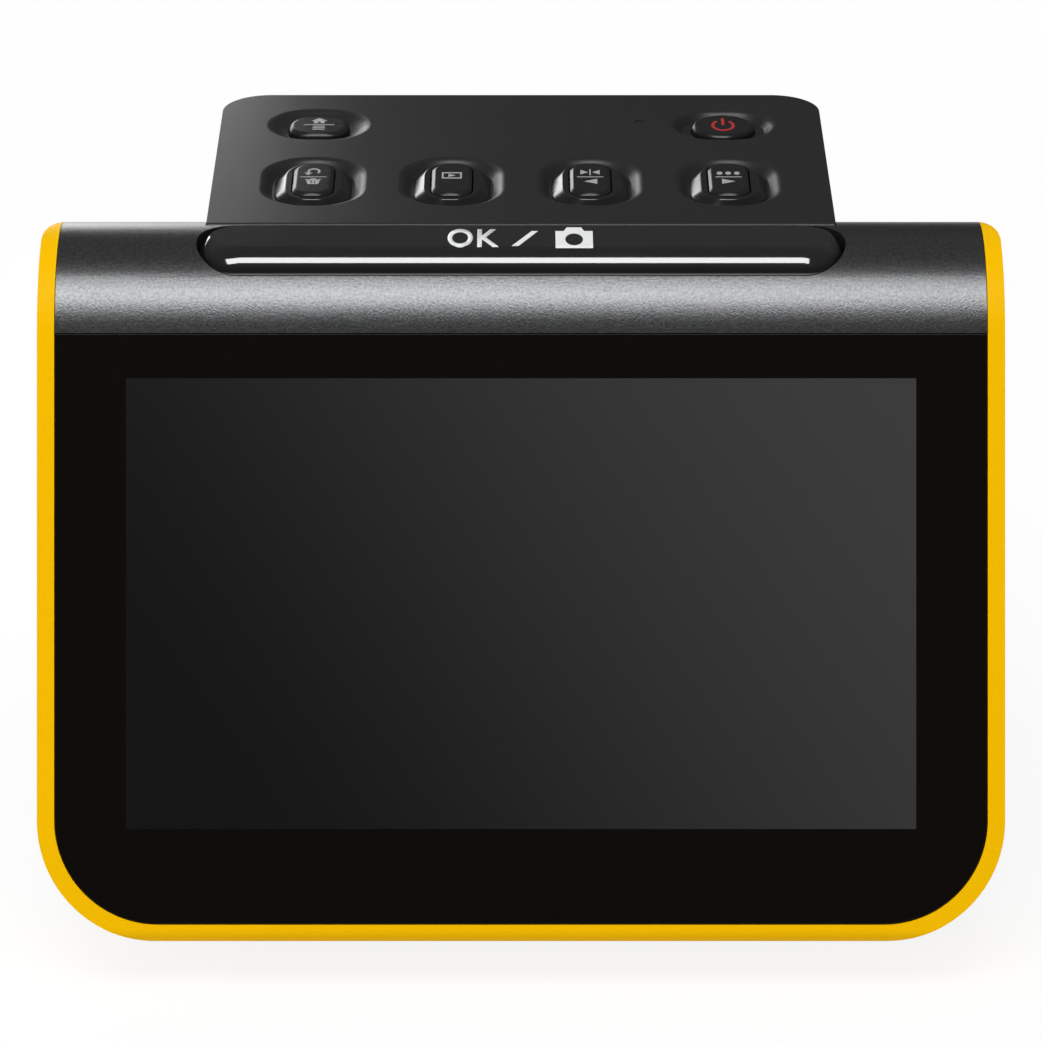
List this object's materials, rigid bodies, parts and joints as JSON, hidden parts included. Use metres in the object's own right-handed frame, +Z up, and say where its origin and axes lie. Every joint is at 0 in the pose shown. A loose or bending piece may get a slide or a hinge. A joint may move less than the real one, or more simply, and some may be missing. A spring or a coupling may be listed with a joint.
{
  "type": "film negative scanner",
  "caption": "Desktop film scanner: tilted display in a yellow U-shaped frame, rolled metallic top with a long key, key panel behind, and a film holder that slides through the tower.",
  "frame": {"origin": "middle of the part's box, at the surface that it stands on", "axes": "+X to the right as seen from the display, +Y to the back, +Z up"},
  "size_m": [0.135, 0.1052, 0.0954],
  "materials": {
    "yellow_plastic": "smooth satin yellow",
    "roll_finish": "fine metallic gunmetal paint",
    "screen_black": "black-printed cover glass",
    "foam": "soft black foam",
    "lcd_face": "dark unlit display",
    "inner_black": "matte black moulding",
    "charcoal_plastic": "fine-grained charcoal",
    "screw_steel": "zinc-plated",
    "key_gloss": "glossy black",
    "key_satin": "satin black",
    "switch_black": "moulded black",
    "switch_metal": "stamped tin-plated steel",
    "board_green": "green solder mask on glass-filled board",
    "board_white": "white solder mask on glass-filled board",
    "light_guide": "clear acrylic",
    "led_body": "lamp package with yellow phosphor",
    "chip_black": "moulded chip package",
    "connector_cream": "moulded cream",
    "socket_metal": "nickel-plated steel shell",
    "ribbon_amber": "amber film with copper tracks",
    "lens_glass": "coated optical glass",
    "sensor_face": "sensor under glass",
    "light_box_white": "white reflective moulding",
    "diffuser": "opal acrylic",
    "spring_steel": "spring steel",
    "holder_black": "fine matte black",
    "foot_rubber": "soft rubber"
  },
  "bodies": {
    "housing": {"side_frame": "yellow_plastic", "roll_cover": "roll_finish", "screen_glass": "screen_black", "screen_gasket": "foam", "lcd_panel": "lcd_face", "display_carrier": "inner_black", "back_cover": "charcoal_plastic", "case_screws": "screw_steel", "tower_shell": "charcoal_plastic", "button_panel": "charcoal_plastic", "key_bezels": "key_gloss", "switch_bodies": "switch_metal", "key_board": "board_green", "board_screws": "screw_steel", "status_light": "light_guide", "status_led": "led_body", "main_board": "board_green", "board_chips": "chip_black", "ribbon_sockets": "connector_cream", "memory_card_socket": "socket_metal", "usb_socket": "socket_metal", "video_socket": "socket_metal", "display_ribbon": "ribbon_amber", "key_ribbon": "ribbon_amber", "sensor_ribbon": "ribbon_amber", "light_ribbon": "ribbon_amber", "camera_bracket": "inner_black", "lens_holder": "inner_black", "lens_barrel": "inner_black", "lens_elements": "lens_glass", "sensor_board": "board_green", "image_sensor": "sensor_face", "light_box": "light_box_white", "light_board": "board_white", "light_emitters": "led_body", "diffuser_plate": "diffuser", "channel_lower": "inner_black", "channel_upper": "inner_black", "channel_spring": "spring_steel", "base_plate": "charcoal_plastic", "feet": "foot_rubber"},
    "ok_bar": {"ok_bar": "key_gloss", "ok_plungers": "switch_black"},
    "home_key": {"home_key": "key_satin", "home_plunger": "switch_black"},
    "rotate_key": {"rotate_key": "key_satin", "rotate_plunger": "switch_black"},
    "gallery_key": {"gallery_key": "key_satin", "gallery_plunger": "switch_black"},
    "flip_key": {"flip_key": "key_satin", "flip_plunger": "switch_black"},
    "colour_key": {"colour_key": "key_satin", "colour_plunger": "switch_black"},
    "power_key": {"power_key": "key_satin", "power_plunger": "switch_black"},
    "film_holder": {"holder_base": "holder_black", "holder_lid": "holder_black", "holder_pin": "spring_steel"}
  },
  "joints": [
    {"name": "ok_bar_press", "type": "slide", "parent": "housing", "child": "ok_bar", "axis": [0, 0, -1], "range_m": [0, 0.0006], "stiffness_N_per_m": 1500},
    {"name": "home_key_press", "type": "slide", "parent": "housing", "child": "home_key", "axis": [0, 0, -1], "range_m": [0, 0.0006], "stiffness_N_per_m": 900},
    {"name": "rotate_key_press", "type": "slide", "parent": "housing", "child": "rotate_key", "axis": [0, 0, -1], "range_m": [0, 0.0006], "stiffness_N_per_m": 900},
    {"name": "gallery_key_press", "type": "slide", "parent": "housing", "child": "gallery_key", "axis": [0, 0, -1], "range_m": [0, 0.0006], "stiffness_N_per_m": 900},
    {"name": "flip_key_press", "type": "slide", "parent": "housing", "child": "flip_key", "axis": [0, 0, -1], "range_m": [0, 0.0006], "stiffness_N_per_m": 900},
    {"name": "colour_key_press", "type": "slide", "parent": "housing", "child": "colour_key", "axis": [0, 0, -1], "range_m": [0, 0.0006], "stiffness_N_per_m": 900},
    {"name": "power_key_press", "type": "slide", "parent": "housing", "child": "power_key", "axis": [0, 0, -1], "range_m": [0, 0.0006], "stiffness_N_per_m": 900},
    {"name": "film_holder_slide", "type": "slide", "parent": "housing", "child": "film_holder", "axis": [1, 0, 0], "range_m": [-0.045, 0.112]}
  ]
}
